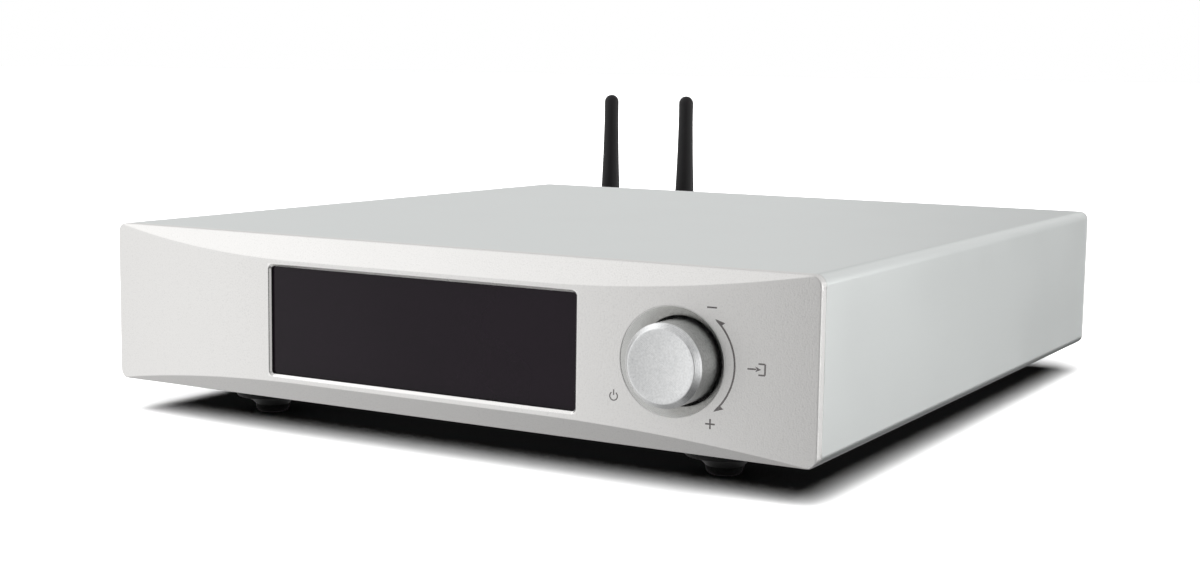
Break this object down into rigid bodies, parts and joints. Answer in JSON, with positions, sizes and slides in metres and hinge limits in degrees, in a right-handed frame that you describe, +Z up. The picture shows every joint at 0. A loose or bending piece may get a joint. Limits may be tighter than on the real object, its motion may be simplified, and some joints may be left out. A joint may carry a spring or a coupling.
{
  "type": "network music streamer",
  "caption": "Low silver hi-fi streamer with a bowed, bevelled front, a dark display window, a push-and-turn knob, flared feet, rear sockets and swivelling antennas.",
  "frame": {"origin": "on the table under the middle of the whole box: width of the case, and length from the knob to the antenna elbows", "axes": "+X to the right seen from the front, +Y to the back, +Z up; the front faces -Y"},
  "size_m": [0.235, 0.2814, 0.098],
  "materials": {
    "fascia_metal": "bead-blasted and anodised, silver",
    "cover_metal": "fine satin anodised, silver",
    "base_metal": "plain satin",
    "rear_metal": "satin anodised, silver",
    "inner_steel": "plated",
    "screw_steel": "plated",
    "screw_black": "black oxide",
    "foot_plastic": "black, fine grain",
    "foot_rubber": "matt black",
    "gasket_rubber": "matt black foam",
    "window_acrylic": "deep smoked gloss",
    "display_glass": "dark glass",
    "frame_plastic": "ivory",
    "board_green": "green solder mask",
    "knob_metal": "turned, blasted and anodised, bright chamfer",
    "connector_black": "moulded black",
    "gold_brass": "gold flashed",
    "antenna_black": "moulded, fine matt",
    "contact_metal": "nickel plated",
    "rocker_plastic": "satin black",
    "shield_metal": "tin plated",
    "contact_gold": "gold flashed",
    "tongue_plastic": "white",
    "shutter_plastic": "dark grey",
    "ring_plastic": "white, red and black insulators",
    "pillar_brass": "plain",
    "module_blue": "blue solder mask",
    "transformer_tape": "amber tape",
    "capacitor_sleeve": "dark blue sleeve",
    "sink_metal": "black anodised",
    "ribbon_plastic": "white",
    "lead_black": "black",
    "lead_brown": "brown and blue"
  },
  "bodies": {
    "chassis": {"front_fascia": "fascia_metal", "top_cover": "cover_metal", "base_plate": "base_metal", "rear_panel": "rear_metal", "front_subpanel": "inner_steel", "panhead_screws": "screw_steel", "countersunk_screws": "screw_black", "rear_panel_screws": "screw_black", "foot_cones": "foot_plastic", "foot_pads": "foot_rubber", "foot_screws": "screw_steel", "window_gasket": "gasket_rubber", "display_window": "window_acrylic", "display_glass": "display_glass", "display_frame": "frame_plastic", "display_board": "board_green", "encoder_body": "connector_black", "encoder_washer": "inner_steel", "encoder_nut": "inner_steel", "encoder_board": "board_green", "antenna_jacks": "gold_brass", "antenna_jack_nuts": "gold_brass", "antenna_collars": "gold_brass", "mains_inlet": "connector_black", "mains_blades": "contact_metal", "switch_housing": "connector_black", "network_jack": "shield_metal", "network_contacts": "contact_gold", "data_jack": "shield_metal", "data_tongues": "tongue_plastic", "optical_jack": "connector_black", "audio_jacks": "gold_brass", "audio_rings": "ring_plastic", "audio_nuts": "gold_brass", "trigger_jack": "connector_black", "main_board": "board_green", "power_board": "board_green", "board_pillars": "pillar_brass", "streaming_module": "module_blue", "module_shield": "shield_metal", "transformer": "transformer_tape", "transformer_clamp": "inner_steel", "capacitors": "capacitor_sleeve", "heat_sink": "sink_metal", "display_ribbon": "ribbon_plastic", "antenna_leads": "lead_black", "mains_leads": "lead_brown"},
    "push_stem": {"switch_plunger": "frame_plastic"},
    "knob": {"control_knob": "knob_metal", "knob_grub_screw": "screw_black", "encoder_shaft": "inner_steel"},
    "antenna_base_left": {"antenna_elbow_left": "antenna_black", "antenna_pin_left": "inner_steel"},
    "antenna_rod_left": {"antenna_whip_left": "antenna_black"},
    "antenna_base_right": {"antenna_elbow_right": "antenna_black", "antenna_pin_right": "inner_steel"},
    "antenna_rod_right": {"antenna_whip_right": "antenna_black"},
    "rocker": {"switch_rocker": "rocker_plastic"},
    "shutter": {"optical_shutter": "shutter_plastic"}
  },
  "joints": [
    {"name": "knob_push", "type": "slide", "parent": "chassis", "child": "push_stem", "axis": [0, 1, 0], "range_m": [0, 0.001], "stiffness_N_per_m": 3000},
    {"name": "knob_turn", "type": "hinge", "parent": "push_stem", "child": "knob", "pos_m": [0.0802, -0.14072, 0.035], "axis": [0, 1, 0], "continuous": true},
    {"name": "antenna_swivel_left", "type": "hinge", "parent": "chassis", "child": "antenna_base_left", "pos_m": [-0.0925, 0.13652, 0.035], "axis": [0, 1, 0], "range_deg": [-90, 12]},
    {"name": "antenna_tilt_left", "type": "hinge", "parent": "antenna_base_left", "child": "antenna_rod_left", "pos_m": [-0.0925, 0.13652, 0.035], "axis": [-1, 0, 0], "range_deg": [0, 90]},
    {"name": "antenna_swivel_right", "type": "hinge", "parent": "chassis", "child": "antenna_base_right", "pos_m": [-0.0565, 0.13652, 0.035], "axis": [0, 1, 0], "range_deg": [-12, 90]},
    {"name": "antenna_tilt_right", "type": "hinge", "parent": "antenna_base_right", "child": "antenna_rod_right", "pos_m": [-0.0565, 0.13652, 0.035], "axis": [-1, 0, 0], "range_deg": [0, 90]},
    {"name": "rocker_tip", "type": "hinge", "parent": "chassis", "child": "rocker", "pos_m": [0.05225, 0.11869, 0.035], "axis": [1, 0, 0], "range_deg": [0, 20]},
    {"name": "shutter_swing", "type": "hinge", "parent": "chassis", "child": "shutter", "pos_m": [0.0015, 0.12032, 0.0309], "axis": [-1, 0, 0], "range_deg": [0, 80], "stiffness_Nm_per_rad": 0.0001, "springref_deg": -17.19}
  ]
}
